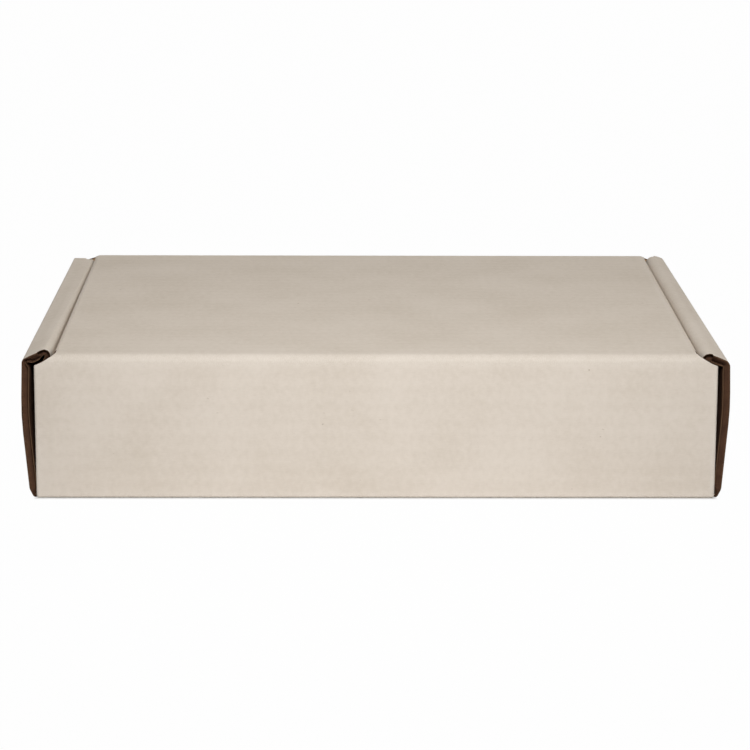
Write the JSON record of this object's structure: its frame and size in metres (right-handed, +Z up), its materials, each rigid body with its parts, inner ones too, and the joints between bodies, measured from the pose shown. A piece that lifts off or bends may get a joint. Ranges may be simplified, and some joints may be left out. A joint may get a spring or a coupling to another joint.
{
  "type": "corrugated mailer box",
  "caption": "Flat rectangular mailer box folded from corrugated board, with rolled double side walls, corner ears and a hinged lid with a tuck flap and side ears.",
  "frame": {"origin": "middle of the underside, in the plane the box stands on", "axes": "+X along the hinge, +Y from the hinge wall to the tuck side, +Z up through the closed lid"},
  "size_m": [0.2766, 0.212, 0.0575],
  "materials": {
    "board": "matt off-white paper outside, brown kraft inside and on the raw edges"
  },
  "bodies": {
    "tray": {"tray": "board"},
    "lid": {"lid": "board"}
  },
  "joints": [
    {"name": "lid_hinge", "type": "hinge", "parent": "tray", "child": "lid", "pos_m": [0, -0.10503, 0.05653], "axis": [1, 0, 0], "range_deg": [0, 180]}
  ]
}
